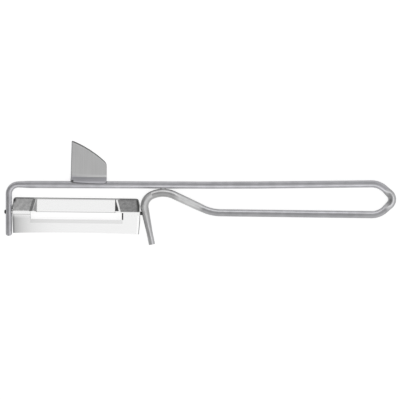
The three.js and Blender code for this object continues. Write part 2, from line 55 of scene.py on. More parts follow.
# Sizes of the object, as in the CAD source: lengths in millimetres and angles in radians.
WIRE_DIAMETER = 3.4
ARM_WIDTH = 2.9
TIP_WIDTH = 3.8
HOOK_WIDTH = 3.8
OVERALL_LENGTH = 185
LEFT_ARM_DROP = 24.4
LEFT_TIP_HEIGHT = 1.1
LEFT_CORNER_RADIUS = 4.5
RAIL_FULL_AT = 10
RAIL_BOW_AT = 107
RAIL_BOW = 0.4
RAIL_BOW_RADIUS = 1500
RAIL_RISE = 0.28
LOOP_DROP = 14.4
LOOP_TAPER = radians(44)
LOOP_SHOULDER_RADIUS = 9
LOOP_TIP_RADIUS = 3.6
THROAT_DROP = 13.4
THROAT_SLOPE = radians(25)
THROAT_RADIUS = 20
HOOK_CREST_RADIUS = 12.7
HOOK_SIDE_RADIUS = 5.7
HOOK_FALL = radians(23.5)
HOOK_STRAIGHT = 0.3
HOOK_GAP = 0.1
RIGHT_ARM_LEAN = radians(11.5)
RIGHT_ARM_NARROW_DROP = 22.5
RIGHT_ARM_DROP = 28.5

BLADE_LENGTH = 60.5
BLADE_SHEET = 0.6
PIVOT_DROP = 13
PIVOT_FALL = 0.72
LEFT_END_GAP = 0.35
RIGHT_END_GAP = 0.6
BACK_REACH = 6.95
GUARD_REACH = 10
GUARD_HOLLOW = 0.5
BACK_RIM = 0.7
EDGE_OFFSET = 0.05
EDGE_PROUD = 1.2
BACK_PROUD = 0.4
EDGE_BEVEL = 1.6
EDGE_LAND = 0.08
SLOT_WIDTH = 3.25
SLOT_END_MARGIN = 8.7
STRIP_MARGIN = 11.6
FACET_TILT = radians(24.5)
LIP_WIDTH = 2
LIP_LAND = 0.25
BACK_TILT = radians(5)
GUARD_TILT = radians(15.5)
LEFT_TAPER = 0.25
RIGHT_TAPER = 0.6
CORNER_RADIUS = 1.4
EAR_HALF_WIDTH = 3.2
EAR_RADIUS = 1.55

PIN_RADIUS = 0.85
PIN_RIVET_RADIUS = 1.1
PIN_RIVET_HEIGHT = 0.5
PIN_BUTTON_RADIUS = 1.0
PIN_BUTTON_HEIGHT = 0.6
RIGHT_PIN_DEPTH = 2.2
PIN_END_CHAMFER = 0.25

EYE_START = 29.2
EYE_WIDTH = 17.2
EYE_SHEET = 0.9
EYE_POINT_HEIGHT = 20.8
EYE_HEEL_HEIGHT = 10.2
EYE_EDGE_RADIUS = 50
EYE_HEEL_RADIUS = 1.2
EYE_FOOT_RADIUS = 1.6
EYE_FOOT_SETBACK = 0.5
EYE_LEAN = 0.6
EYE_BEVEL_WIDTH = 1.1
EYE_BEVEL_DEPTH = 0.6
EYE_BEND_RADIUS = 0.8

SEAT_GAP = 0.1
RUN_GAP = 0.1
BORE_BOTTOM_GAP = 0.4

# Sizes that follow from these.
WIRE_RADIUS = WIRE_DIAMETER / 2
BLADE_START = ARM_WIDTH / 2 + LEFT_END_GAP
RIGHT_PIVOT_DROP = PIVOT_DROP + PIVOT_FALL
PIVOT_TILT = asin(PIVOT_FALL / BLADE_LENGTH)
RIVET_HEADROOM = PIN_RIVET_RADIUS + SEAT_GAP + BLADE_SHEET / 2
CROWN_HEIGHT = RIVET_HEADROOM / cos(GUARD_TILT) + EDGE_OFFSET * tan(GUARD_TILT)
LIP_BACK = EDGE_OFFSET - SLOT_WIDTH
LIP_FRONT = LIP_BACK - LIP_WIDTH
RIGHT_ARM_AT_PIVOT = BLADE_START + BLADE_LENGTH + RIGHT_END_GAP + HOOK_WIDTH / 2 / cos(RIGHT_ARM_LEAN)

# Places taken from the frame: the pivot axis's middle, and the left arm's and the rail's centre lines.
pivot = Vector(frame["joints"][0]["pos_m"])
arm_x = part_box("wire_frame")[0].x + ARM_WIDTH / 2 * MM
rail_y = pivot.y + (PIVOT_DROP + PIVOT_FALL / 2) * MM


def place(x, y, z):
    """A point from millimetres right of the left arm, behind the rail and above its centre line."""
    return Vector((arm_x + x * MM, rail_y + y * MM, pivot.z + z * MM))


def blade_place(x, y, z):
    """A point from millimetres along the blade, behind the pivot axis and above it."""
    c, s = cos(PIVOT_TILT), sin(PIVOT_TILT)
    return place(BLADE_START + x * c + y * s, -PIVOT_DROP - x * s + y * c, z)


def clamp(value, low, high):
    return max(low, min(high, value))


def mix(a, b, share):
    return a + (b - a) * share


def progress(value, start, end):
    """How far a value has come from start to end, from 0 to 1."""
    return clamp((value - start) / (end - start), 0, 1)


def spread(start, end, count):
    return [mix(start, end, k / count) for k in range(count + 1)]


def round_angles(sides):
    return [2 * pi * k / sides for k in range(sides)]


def smooth_min(a, b, reach):
    """The lower of two heights, rounded where they are less than reach apart."""
    near = max(reach - abs(a - b), 0) / reach
    return min(a, b) - near * near * reach / 4


def smooth_max(a, b, reach):
    return -smooth_min(-a, -b, reach)


def quarter_drop(distance, radius):
    """Fall of a quarter-round edge at a distance in from it."""
    over = clamp(radius - distance, 0, radius)
    return radius - sqrt(max(0, radius**2 - over**2))


# Mesh building.


def new_object(name, points, faces):
    mesh = bpy.data.meshes.new(name)
    mesh.from_pydata([tuple(p) for p in points], [], faces)
    made = bpy.data.objects.new(name, mesh)
    scene.collection.objects.link(made)
    return made


def new_piece(name, points, faces, body, node=None, sharp=35):
    """A closed piece from points in the frame and faces as tuples of point numbers. Its edges are smooth
    where faces meet at less than sharp degrees."""
    piece = new_object(name, points, faces)
    mesh = piece.data
    shell = bmesh.new()
    shell.from_mesh(mesh)
    bmesh.ops.recalc_face_normals(shell, faces=shell.faces)
    shell.to_mesh(mesh)
    shell.free()
    mesh.shade_smooth()
    mesh.set_sharp_from_angle(angle=radians(sharp))
    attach(piece, body)
    if node:
        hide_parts(node)
    return piece


def dress(mesh, finishes, second=(), **skins):
    """Gives a mesh its finishes, the second one on the faces numbered there, and its skins, which carry
    a pair of numbers for every point."""
    for finish in finishes:
        mesh.materials.append(finish)
    for number in second:
        mesh.polygons[number].material_index = 1
    for name in skins:
        mesh.uv_layers.new(name=name)
    for name, pairs in skins.items():
        carried = mesh.uv_layers[name].data
        for loop in mesh.loops:
            carried[loop.index].uv = pairs[loop.vertex_index]


def ring_faces(rings, sides):
    """Faces from each ring to the next, where the points are numbered one ring after the other."""
    faces = []
    for a, b in zip(rings, rings[1:]):
        for k in range(sides):
            n = (k + 1) % sides
            faces.append((a * sides + k, a * sides + n, b * sides + n, b * sides + k))
    return faces


def tube_faces(count, sides):
    """Faces of a tube of such rings with count points in all, closed by a flat face at each end."""
    ends = [tuple(reversed(range(sides))), tuple(range(count - sides, count))]
    return ring_faces(range(count // sides), sides) + ends


def turned(profile, sides):
    """Points and faces of a solid turned about the pivot axis, from (place along it, radius) pairs."""
    points = [
        blade_place(x, radius * cos(angle), radius * sin(angle))
        for x, radius in profile
        for angle in round_angles(sides)
    ]
    return points, tube_faces(len(points), sides)


def sheet_faces(columns, rows, is_there):
    """Faces of a sheet whose top and bottom points are numbered column by column, top first.
    Returns (face, side, column, row), where side is top, bottom or edge."""
    layer = columns * rows

    def there(i, j):
        return 0 <= i < columns - 1 and 0 <= j < rows - 1 and is_there(i, j)

    made = []
    for i in range(columns - 1):
        for j in range(rows - 1):
            if not there(i, j):
                continue
            first = i * rows + j
            top = (first, first + 1, first + rows + 1, first + rows)
            made.append((top, "top", i, j))
            made.append((tuple(n + layer for n in reversed(top)), "bottom", i, j))
            neighbours = [(i - 1, j), (i, j + 1), (i + 1, j), (i, j - 1)]
            for k, other in enumerate(neighbours):
                if not there(*other):
                    p, q = top[k], top[(k + 1) % 4]
                    made.append(((p, p + layer, q + layer, q), "edge", i, j))
    return made


def surface_normals(grid):
    """Upward normals of a grid of points, grid[i][j]."""
    columns, rows = len(grid), len(grid[0])

    def normal_at(i, j):
        along = grid[min(i + 1, columns - 1)][j] - grid[max(i - 1, 0)][j]
        across = grid[i][min(j + 1, rows - 1)] - grid[i][max(j - 1, 0)]
        normal = along.cross(across).normalized()
        return normal if normal.z >= 0 else -normal

    return [[normal_at(i, j) for j in range(rows)] for i in range(columns)]


# Materials.

NOISE_SPAN = (0.25, 0.75)  # most of a noise's values lie in it
GRAIN_DEPTH = 0.00004  # height in metres of the bumps on the satin metals


class Value:
    """A number, place or colour that a node works out."""

    def __init__(self, nodes, socket):
        self.nodes = nodes
        self.socket = socket

    def __mul__(self, other):
        return self.nodes.math("MULTIPLY", self, other)

    def __add__(self, other):
        return self.nodes.math("ADD", self, other)

    def at_least(self, other):
        return self.nodes.math("MAXIMUM", self, other)

    def at_most(self, other):
        return self.nodes.math("MINIMUM", self, other)

    def share(self, start, end, to_start=0, to_end=1):
        """0 up to start and 1 from end on, or the two values given for them, and smooth between."""
        inputs = (self, start, end, to_start, to_end)
        return self.nodes.value("ShaderNodeMapRange", inputs, interpolation_type="SMOOTHSTEP")

    def band(self, start, full, fading, end):
        """A share that grows from start to full and falls again from fading to end."""
        return self.share(start, full) * self.share(end, fading)


class Nodes:
    """A node tree, with short ways to add to it."""

    def __init__(self, tree):
        self.tree = tree

    def fill(self, socket, content):
        """Sets an input, or links it to the node that works it out."""
        if isinstance(content, Value):
            self.tree.links.new(content.socket, socket)
        else:
            socket.default_value = content

    def node(self, kind, inputs=(), **settings):
        """A new node, with its inputs in order or by name."""
        made = self.tree.nodes.new(kind)
        for key, setting in settings.items():
            setattr(made, key, setting)
        keyed = inputs if isinstance(inputs, dict) else dict(enumerate(inputs))
        for key, content in keyed.items():
            self.fill(made.inputs[key], content)
        return made

    def value(self, kind, inputs=(), output=0, **settings):
        return Value(self, self.node(kind, inputs, **settings).outputs[output])

    def math(self, operation, *inputs):
        return self.value("ShaderNodeMath", inputs, operation=operation)


class Finish(Nodes):
    """The nodes of a material."""

    def __init__(self, name, edge_tint=1, metallic=1):
        self.material = bpy.data.materials.new(name)
        self.material.use_nodes = True
        super().__init__(self.material.node_tree)
        self.shader = self.tree.nodes["Principled BSDF"]
        self.feed(metallic, "Metallic")
        self.feed(grey(edge_tint), "Specular Tint")

    def feed(self, content, key):
        self.fill(self.shader.inputs[key], content)

    def both(self, skin):
        """The two numbers that a skin carries."""
        split = self.node("ShaderNodeSeparateXYZ", [self.value("ShaderNodeUVMap", uv_map=skin)])
        return Value(self, split.outputs["X"]), Value(self, split.outputs["Y"])

    def noise(self, scale, detail=3, stretch=(1, 1, 1), skin=None):
        """A noise through the piece or over one of its skins, with its places stretched first."""
        if skin:
            at = self.value("ShaderNodeUVMap", uv_map=skin)
        else:
            at = self.value("ShaderNodeTexCoord", output="Object")
        at = self.value("ShaderNodeMapping", {"Vector": at, "Scale": stretch})
        return self.value("ShaderNodeTexNoise", {"Vector": at, "Scale": scale, "Detail": detail}, "Fac")

    def tone(self, factor, first, second, blend="MIX"):
        """A colour between two tones."""
        inputs = {"Factor": factor, 6: first, 7: second}
        return self.value("ShaderNodeMix", inputs, 2, data_type="RGBA", blend_type=blend)

    def layered(self, tone, layers):
        """A tone with others laid over it, from (share, tone) pairs."""
        for share, over in layers:
            tone = self.tone(share, tone, over)
        return tone

    def ramp(self, factor, stops):
        """A colour ramp from (place, colour) stops."""
        made = self.node("ShaderNodeValToRGB", [factor])
        elements = made.color_ramp.elements
        while len(elements) < len(stops):
            elements.new(0.5)
        for element, (at, colour) in zip(elements, stops):
            element.position = at
            element.color = colour
        return Value(self, made.outputs["Color"])

    def bump(self, height, strength):
        inputs = {"Height": height, "Strength": strength, "Distance": GRAIN_DEPTH}
        self.feed(self.value("ShaderNodeBump", inputs), "Normal")

    def done(self, tone, roughness):
        """The material, with its tone and roughness."""
        self.feed(tone, "Base Color")
        self.feed(roughness, "Roughness")
        return self.material


def steel(level):
    """A grey with the wire's faint violet cast."""
    return (level, level * 0.995, level * 1.05, 1)


def grey(level):
    return (level, level, level, 1)


# Painted tones round the wire, in turns: a painted highlight line is at a half, painted shade lies just
# before it, and the outer side comes before that.
WIRE_PAINTED_TONES = [
    (0.0, 0.55), (0.2, 0.57), (0.27, 0.55), (0.34, 0.48), (0.39, 0.42), (0.43, 0.41),
    (0.475, 0.55), (0.5, 0.84), (0.53, 0.63), (0.6, 0.56), (0.8, 0.55), (1.0, 0.55),
]
# Tones that even out the painted shading, and that deepen its painted dark side.
WIRE_EVEN_TONE = 0.7
WIRE_SHADE_TONE = 0.08


def wire_finish():
    """Drawn wire with a satin skin: fine lines along it, a painted highlight line with painted shade
    beside it, and a cloudy tone.
    Its painted shading is evened out or its painted dark side deepened, and its cast tints it and dims it
    with painted shade."""
    metal = Finish("satin_wire", 0.4)
    turned_over, lift = metal.both("Wear")
    violet, dim = metal.both("Cast")
    lines = metal.noise(9, 4, (0.35, 60, 1), "Skin")
    clouds = metal.noise(240)
    grain = metal.noise(5200, 2)
    turn = metal.math("FRACT", metal.both("Skin")[1] + lines.share(0.2, 0.8, -0.02, 0.02))
    tones = [(at, grey(level)) for at, level in WIRE_PAINTED_TONES]
    back_tones = [(1 - at, colour) for at, colour in reversed(tones)]
    # Painted highlight line and painted shade round the wire, mirrored where the painted darker side is
    # the inner one.
    painted_round_shading = metal.tone(turned_over, metal.ramp(turn, tones), metal.ramp(turn, back_tones))
    # Lift above zero evens out the painted shading; below zero it deepens the painted dark side.
    shaded_side = metal.value("ShaderNodeRGBToBW", [painted_round_shading]).share(0.64, 0.42)
    shade_shifts = [
        (lift.at_least(0), grey(WIRE_EVEN_TONE)),
        ((lift * -1).at_least(0) * shaded_side, grey(WIRE_SHADE_TONE)),
    ]
    cloudy = metal.tone(clouds.share(0.3, 0.7), grey(0.92), grey(1.06))
    tinted = metal.tone(1, cloudy, metal.tone(violet, grey(1), steel(1)), "MULTIPLY")
    # Dim darkens the wire all over with painted shade.
    tint_and_shade = metal.tone(dim, tinted, grey(0))
    tone = metal.tone(1, metal.layered(painted_round_shading, shade_shifts), tint_and_shade, "MULTIPLY")
    metal.bump(lines + grain, 0.25)
    return metal.done(tone, lines.share(*NOISE_SPAN, 0.3, 0.44))


def plate_finish():
    """Tumbled sheet with a fine grain and upright rolling marks. The fold over the rail is painted darker
    as shade, the bend above it carries a painted highlight line, the left edge a painted shade line, and
    the foot's left corner has a dark spot. Places are in millimetres."""
    metal = Finish("satin_plate", 0.5)
    across, up = metal.both("Plan")
    rolling = metal.noise(1, stretch=(1400, 60, 60))
    grain = metal.noise(4200)
    foot = metal.tone(grain, steel(0.45), steel(0.53))
    # The fold over the rail is painted darker as shade.
    shaded_fold = metal.tone(grain, steel(0.44), steel(0.53))
    face = metal.tone(rolling, grey(0.52), grey(0.64))
    # Painted highlight line along the bend above the fold.
    bend_highlight = up.band(4.5, 4.8, 5.3, 5.9) * across.share(0, 17, 0.3, 1)
    # Painted shade line along the left edge.
    left_edge_shade = across.share(0.5, 0.2)
    # A dark spot at the foot's left corner.
    dark_corner_spot = across.band(0.2, 0.7, 1.2, 1.8) * up.share(1.9, 1.5)
    layers = [
        (up.share(1.7, 2.1), shaded_fold),
        (up.share(3.9, 4.5), face),
        (bend_highlight, grey(0.69)),
        (left_edge_shade, steel(0.3)),
        (dark_corner_spot, grey(0.11)),
    ]
    metal.bump(grain, 0.3)
    return metal.done(metal.layered(foot, layers), grain.share(*NOISE_SPAN, 0.36, 0.5))


HAZE_SHADE_HALF_LENGTH = 4.5  # length of guard in which its haze and painted shade fade by half


def blade_finish():
    """Polished strip steel with faint buffing lines, a duller lip and cutting edge, a hazed left end of
    the guard painted darker as shade, a painted shade line along the fold, mottled tabs with painted dark
    shade along their edges, a painted highlight near the right end, a painted shade line down each end,
    and a painted shade spot on the left burr. Places are in millimetres."""
    metal = Finish("polished_blade")
    along, across = metal.both("Plan")
    from_end, from_back = metal.both("Rim")
    buffing = metal.noise(1, stretch=(0.05, 4, 1), skin="Plan")
    mottle = metal.noise(600)
    on_guard = across.share(0, -3.4)
    on_tab = across.share(0.4, 0.9) * from_end.share(11, 9)
    at_right = across.share(-1, -1.6) * along.share(56, 58)
    slot_length = from_end.share(SLOT_END_MARGIN - 0.8, SLOT_END_MARGIN)
    lip = across.band(LIP_FRONT, LIP_FRONT + 0.3, LIP_BACK - 0.2, LIP_BACK) * slot_length
    cutting_edge = across.band(-0.3, 0, 0.25, 0.55) * from_end.share(11, 12)
    # Painted shade line along the fold below the crease, at the left end.
    crease_shade = across.band(-1.4, -1.15, -1.05, -0.8) * along.share(8.8, 8.4)
    # Painted shade at the guard's left end, fading along the blade, with some haze in the roughness.
    haze_and_shade = metal.math("POWER", 0.5, metal.math("DIVIDE", along, HAZE_SHADE_HALF_LENGTH)) * on_guard
    # Painted highlight on the right end's roll.
    end_highlight = from_end.band(0.4, 0.6, 1.2, 1.5) * at_right
    # Painted shade lines down the right end and the guard's left end.
    right_end_shade = from_end.share(0.4, 0.2) * at_right
    left_end_shade = along.share(1.4, 0.4) * on_guard
    # Painted shade on the left burr behind the ear.
    burr_shade = across.band(1, 1.3, 3.3, 3.6) * along.share(0.15, 0)
    # Painted dark shade along the tabs' ends and back edge.
    end_shade_length = from_back.share(3.5, 1.5).at_least(along.share(20, 40))
    end_shade = from_end.band(0.2, 0.5, 0.6, 2.2) * on_tab * end_shade_length
    back_shade = from_back.share(1.1, 0.4) * on_tab.share(0, 1, 0.6, 0.95)
    layers = [
        (lip, 0.76),
        (cutting_edge, 0.6),
        (crease_shade, 0.6),
        (haze_and_shade, 0.36),
        (on_tab * mottle.share(0.3, 0.7), 0.68),
        (end_highlight, 0.98),
        (right_end_shade, 0.3),
        (left_end_shade, 0.26),
        (burr_shade, 0.05),
        (end_shade.at_least(back_shade), 0.09),
    ]
    polish = metal.tone(buffing, grey(0.86), grey(0.91))
    tone = metal.layered(polish, [(share, grey(level)) for share, level in layers])
    return metal.done(tone, buffing.share(*NOISE_SPAN, 0.07, 0.13) + haze_and_shade * 0.15)


def grained_finish(name, tones, roughness, scale=1, stretch=(1, 1, 1), detail=3, edge_tint=1):
    """A metal whose grain goes from one tone and roughness to another."""
    metal = Finish(name, edge_tint)
    grain = metal.noise(scale, detail, stretch)
    return metal.done(metal.tone(grain, *tones), grain.share(*NOISE_SPAN, *roughness))


def sheared_shade_finish():
    """The cut edges of the blade's sheet, dull, and painted darker than its faces as shade."""
    tones = (grey(0.04), grey(0.11))
    return grained_finish("sheared_edge_shade", tones, (0.4, 0.6), stretch=(3000, 900, 300))


def ground_shade_finish():
    """The eye remover's ground edge, with fine marks across it, painted dark as shade; the foot's cut
    edge takes it as a painted shade line.
    """
    tones = (grey(0.16), grey(0.28))
    return grained_finish("ground_edge_shade", tones, (0.32, 0.5), stretch=(5200, 300, 300), detail=2)


def pin_finish(name, darkest, lightest):
    """A headed pin: dark, or bright where it runs in its bore."""
    tones = (grey(darkest), grey(lightest))
    return grained_finish(name, tones, (0.36, 0.58), scale=2600, edge_tint=0.4)


def weld_finish():
    """The resistance weld's squeezed-out metal, dulled by heat."""
    tones = ((0.55, 0.545, 0.54, 1), (0.75, 0.745, 0.74, 1))
    return grained_finish("weld", tones, (0.4, 0.62), scale=1900, edge_tint=0.4)


# Wire frame.

WIRE_SIDES = 48
BEND_STEP = radians(3)
STRAIGHT_STEP = 4
OUTER_SQUARENESS = 3.2  # superellipse power of the wire's flattened outer side; 2 is round
DOME_RINGS = 10
DOME_START = 0.3  # place of the dome's first ring, in steps from its tip
BURR_HEIGHT = 0.18
BURR_RINGS = [(1, 1), (0.96, 0.25), (0.9, 0)]  # width and distance from the end, as shares
COUNTERSINK_RADIUS = 1.3
COUNTERSINK_DEPTH = 0.4
CUTTER_PAST = 1  # how far the bores' cutters reach out of the wire
SKIN_LENGTH = 10  # millimetres of wire to one unit of its unrolled skin
LEFT_ARM_TOP = LEFT_CORNER_RADIUS * 1.6  # drop from the rail at which the left arm's painted shading starts
TAPER_SWELL = 0.5  # share of the loop tip's extra width half-way to it
SLOPE_SWELL = 0.7  # share of the hook's extra width where the slope's light stretch starts
SLOPE_PAINTED_LIGHT = (0.35, 0.85)  # the slope's stretch with painted light, as shares of its length
LOWER_RAIL_SHADED = 0.2  # share of the lower rail's length from which its painted shading is even


class Skin(NamedTuple):
    """The wire's section and its painted shading. Its outer side is the one on the left of the way along
    it.
    """

    width: float
    flat: float  # how much the outer side is flattened
    shine: float  # where the painted highlight line runs, in degrees up from the outer side
    turned: float = 0  # whether the painted darker side is the inner one
    lift: float = 0  # how far its painted shading is evened out, or below zero its painted dark side deepened
    violet: float = 0.8  # how much of the faint violet cast it has
    dim: float = 0  # how much painted shade darkens it all over

    def towards(self, other, share):
        return Skin(*(mix(a, b, share) for a, b in zip(self, other)))


class Bend(NamedTuple):
    """A corner of the bent wire, or with no radius a place where its skin changes."""

    at: Vector
    radius: float
    skin: Skin


class Station(NamedTuple):
    """A place along the wire's centre line."""

    at: Vector
    direction: Vector
    skin: Skin


def crossing(p, d, q, e):
    """The point where two flat lines meet, each given by a point and a direction."""
    gap = q - p
    t = (gap.x * e.y - gap.y * e.x) / (d.x * e.y - d.y * e.x)
    return p + d * t


def loop_corners():
    """X of the loop's tip and of its shoulders before they are rounded."""
    reach = OVERALL_LENGTH - (ARM_WIDTH + TIP_WIDTH) / 2
    tip = reach + LOOP_TIP_RADIUS * (1 / sin(LOOP_TAPER) - 1)
    return tip, tip - (RAIL_RISE + LOOP_DROP) / 2 / tan(LOOP_TAPER)


def rail_height_at(x):
    """The rail's centre line, which sinks a little to its bow and climbs from there."""
    if x < RAIL_BOW_AT:
        return -RAIL_BOW * x / RAIL_BOW_AT
    return mix(-RAIL_BOW, RAIL_RISE, (x - RAIL_BOW_AT) / (loop_corners()[1] - RAIL_BOW_AT))


def hook_crest_centre():
    """Centre of the hook's crest, which lies under the rail. Its side bend runs into the right arm."""
    crest_drop = WIRE_RADIUS + HOOK_GAP + HOOK_WIDTH / 2
    y = rail_height_at(RIGHT_ARM_AT_PIVOT + HOOK_SIDE_RADIUS) - crest_drop - HOOK_CREST_RADIUS
    inset = HOOK_CREST_RADIUS - HOOK_SIDE_RADIUS
    left = inset * sin(HOOK_FALL) + HOOK_STRAIGHT * cos(HOOK_FALL)
    up = inset * cos(HOOK_FALL) - HOOK_STRAIGHT * sin(HOOK_FALL)
    reach = HOOK_SIDE_RADIUS - (y + up + RIGHT_PIVOT_DROP) * sin(RIGHT_ARM_LEAN)
    return Vector((RIGHT_ARM_AT_PIVOT + reach / cos(RIGHT_ARM_LEAN) + left, y))


def wire_bends():
    """The wire's corners from the left arm's tip to the right arm's end, with its painted shading on the
    way.
    """
    tip_x, shoulder_x = loop_corners()
    level = Vector((1, 0))
    arm = Vector((RIGHT_ARM_AT_PIVOT, -RIGHT_PIVOT_DROP))
    arm_down = Vector((sin(RIGHT_ARM_LEAN), -cos(RIGHT_ARM_LEAN)))
    slope_down = Vector((cos(THROAT_SLOPE), -sin(THROAT_SLOPE)))
    fall_down = Vector((-cos(HOOK_FALL), -sin(HOOK_FALL)))

    def at_drop(drop):
        return Vector((0, -drop))

    def on_rail(x):
        return Vector((x, rail_height_at(x)))

    def on_crest(angle):
        return hook_crest_centre() + Vector((sin(angle), cos(angle))) * HOOK_CREST_RADIUS

    slope, fall = on_crest(THROAT_SLOPE), on_crest(-HOOK_FALL)
    throat = crossing(slope, slope_down, at_drop(THROAT_DROP), level)
    hook = crossing(slope, slope_down, fall, fall_down)
    hook_side = crossing(fall, fall_down, arm, arm_down)
    arm_narrow = crossing(arm, arm_down, at_drop(RIGHT_ARM_NARROW_DROP), level)
    arm_end = crossing(arm, arm_down, at_drop(RIGHT_ARM_DROP), level)
    tip = Vector((tip_x, (RAIL_RISE - LOOP_DROP) / 2))
    shoulder = Vector((shoulder_x, -LOOP_DROP))
    slope_start, slope_end = (throat.lerp(slope, share) for share in SLOPE_PAINTED_LIGHT)
    slope_width = mix(WIRE_DIAMETER, HOOK_WIDTH, SLOPE_SWELL)
    taper_width = mix(WIRE_DIAMETER, TIP_WIDTH, TAPER_SWELL)
    eye_end = EYE_START + EYE_WIDTH

    # Each skin's lift, side and dim set the painted shade and painted light on its stretch of wire.
    left_arm = Skin(ARM_WIDTH, 0.5, 122, lift=-0.15)
    rail = Skin(WIRE_DIAMETER, 1, 118)
    lower_rail = Skin(WIRE_DIAMETER, 1, 117)
    taper = Skin(taper_width, 0.5, 95, 0.5, lift=0.1, violet=0.3)
    # The slope's stretch is painted lighter: its tone is evened out to a light grey.
    light = Skin(HOOK_WIDTH, 0, 96, lift=0.75, violet=0)
    right_arm = Skin(ARM_WIDTH, 0, 80, 1, lift=-0.16, violet=0.3)
    return [
        Bend(at_drop(LEFT_ARM_DROP - LEFT_TIP_HEIGHT), 0, left_arm),
        Bend(at_drop(LEFT_ARM_TOP), 0, left_arm),
        Bend(on_rail(0), LEFT_CORNER_RADIUS, Skin(ARM_WIDTH, 0.8, 120, lift=-0.05)),
        Bend(on_rail(RAIL_FULL_AT), 0, rail._replace(lift=0.38, dim=0.17)),
        Bend(on_rail(eye_end), 0, rail._replace(lift=0.25, dim=0.13)),
        Bend(on_rail(eye_end + STRAIGHT_STEP), 0, rail._replace(lift=0.1)),
        Bend(on_rail(RAIL_BOW_AT), RAIL_BOW_RADIUS, rail),
        Bend(on_rail(shoulder_x), LOOP_SHOULDER_RADIUS, lower_rail),
        Bend(on_rail(shoulder_x).lerp(tip, 0.5), 0, taper),
        Bend(tip, LOOP_TIP_RADIUS, Skin(TIP_WIDTH, 0, 72, 1, lift=-0.3, violet=0.3)),
        Bend(tip.lerp(shoulder, 0.5), 0, taper._replace(lift=0.3)),
        Bend(shoulder, LOOP_SHOULDER_RADIUS, lower_rail._replace(lift=-0.1, violet=0.6)),
        Bend(shoulder.lerp(throat, LOWER_RAIL_SHADED), 0, lower_rail._replace(lift=-0.2)),
        Bend(throat, THROAT_RADIUS, lower_rail._replace(flat=0.5, lift=-0.2, violet=0.5)),
        Bend(slope_start, 0, light._replace(width=slope_width)),
        Bend(slope_end, 0, light),
        Bend(hook, HOOK_CREST_RADIUS, Skin(HOOK_WIDTH, 0, 116, lift=-0.12, violet=0)),
        Bend(hook_side, HOOK_SIDE_RADIUS, Skin(HOOK_WIDTH, 0, 95, 0.8, lift=-0.1, violet=0)),
        Bend(arm_narrow, 0, right_arm),
        Bend(arm_end, 0, right_arm._replace(shine=70)),
    ]


def rotated(v, angle):
    c, s = cos(angle), sin(angle)
    return Vector((v.x * c - v.y * s, v.x * s + v.y * c))


def wire_stations():
    """Stations along the centre line, close together in the bends and evenly spaced between them."""
    bends = wire_bends()
    stations = []

    def run_to(at, direction, skin):
        """Goes straight on to a point, fading from the last station's skin to the given one."""
        if stations:
            last = stations[-1]
            count = max(1, round((at - last.at).length / STRAIGHT_STEP))
            for k in range(1, count):
                share = k / count
                fading = last.skin.towards(skin, share)
                stations.append(Station(last.at.lerp(at, share), direction, fading))
        stations.append(Station(at, direction, skin))

    ways = [(b.at - a.at).normalized() for a, b in zip(bends, bends[1:])]
    for bend, before, after in zip(bends, ways[:1] + ways, ways + ways[-1:]):
        if not bend.radius:
            run_to(bend.at, before, bend.skin)
            continue
        turn = atan2(before.x * after.y - before.y * after.x, before.dot(after))
        start = bend.at - before * bend.radius * tan(abs(turn) / 2)
        centre = start + Vector((-before.y, before.x)) * copysign(bend.radius, turn)
        run_to(start, before, bend.skin)
        steps = ceil(abs(turn) / BEND_STEP)
        for s in range(1, steps + 1):
            angle = turn * s / steps
            at = centre + rotated(start - centre, angle)
            stations.append(Station(at, rotated(before, angle), bend.skin))
    return stations


def wire_section(skin):
    """Offsets of the wire's skin from its centre: to the outer side and up."""
    section = []
    for angle in round_angles(WIRE_SIDES):
        c, s = cos(angle), sin(angle)
        power = mix(2, OUTER_SQUARENESS, skin.flat) if c > 0 else 2
        side = copysign(abs(c) ** (2 / power), c) * skin.width / 2
        up = copysign(abs(s) ** (2 / power), s) * WIRE_RADIUS
        section.append((side, up))
    return section


def wire_rings():
    """(station, scale, shift along the wire) for every ring, with a domed tip and a burred cut end."""
    stations = wire_stations()
    rings = []
    for k in range(DOME_RINGS):
        angle = (1 - (k + DOME_START) / DOME_RINGS) * pi / 2
        rings.append((stations[0], cos(angle), -LEFT_TIP_HEIGHT * sin(angle)))
    rings += [(station, 1, 0) for station in stations[:-1]]
    rings += [(stations[-1], scale, -BURR_HEIGHT * share) for scale, share in BURR_RINGS]
    return rings


def bore_profiles():
    """The bore through the left arm and the blind one in the right arm, from outside the wire."""
    mouth = PIN_RADIUS + RUN_GAP

    def countersunk(face, inward):
        return [
            (face - inward * CUTTER_PAST, COUNTERSINK_RADIUS),
            (face, COUNTERSINK_RADIUS),
            (face + inward * COUNTERSINK_DEPTH, mouth),
        ]

    through = countersunk(-LEFT_END_GAP - ARM_WIDTH, 1) + countersunk(-LEFT_END_GAP, -1)[::-1]
    arm_face = BLADE_LENGTH + RIGHT_END_GAP
    blind = countersunk(arm_face, 1) + [(arm_face + RIGHT_PIN_DEPTH + BORE_BOTTOM_GAP, mouth)]
    return through, blind


def cut_bores(piece):
    for profile in bore_profiles():
        cutter = new_object("bore", *turned(profile, WIRE_SIDES))
        cut = piece.modifiers.new("bore", "BOOLEAN")
        cut.operation = "DIFFERENCE"
        cut.object = cutter
        cut.solver = "EXACT"
        bpy.context.view_layer.update()
        graph = bpy.context.evaluated_depsgraph_get()
        done = bpy.data.meshes.new_from_object(piece.evaluated_get(graph))
        piece.modifiers.clear()
        piece.data = done
        bpy.data.objects.remove(cutter)


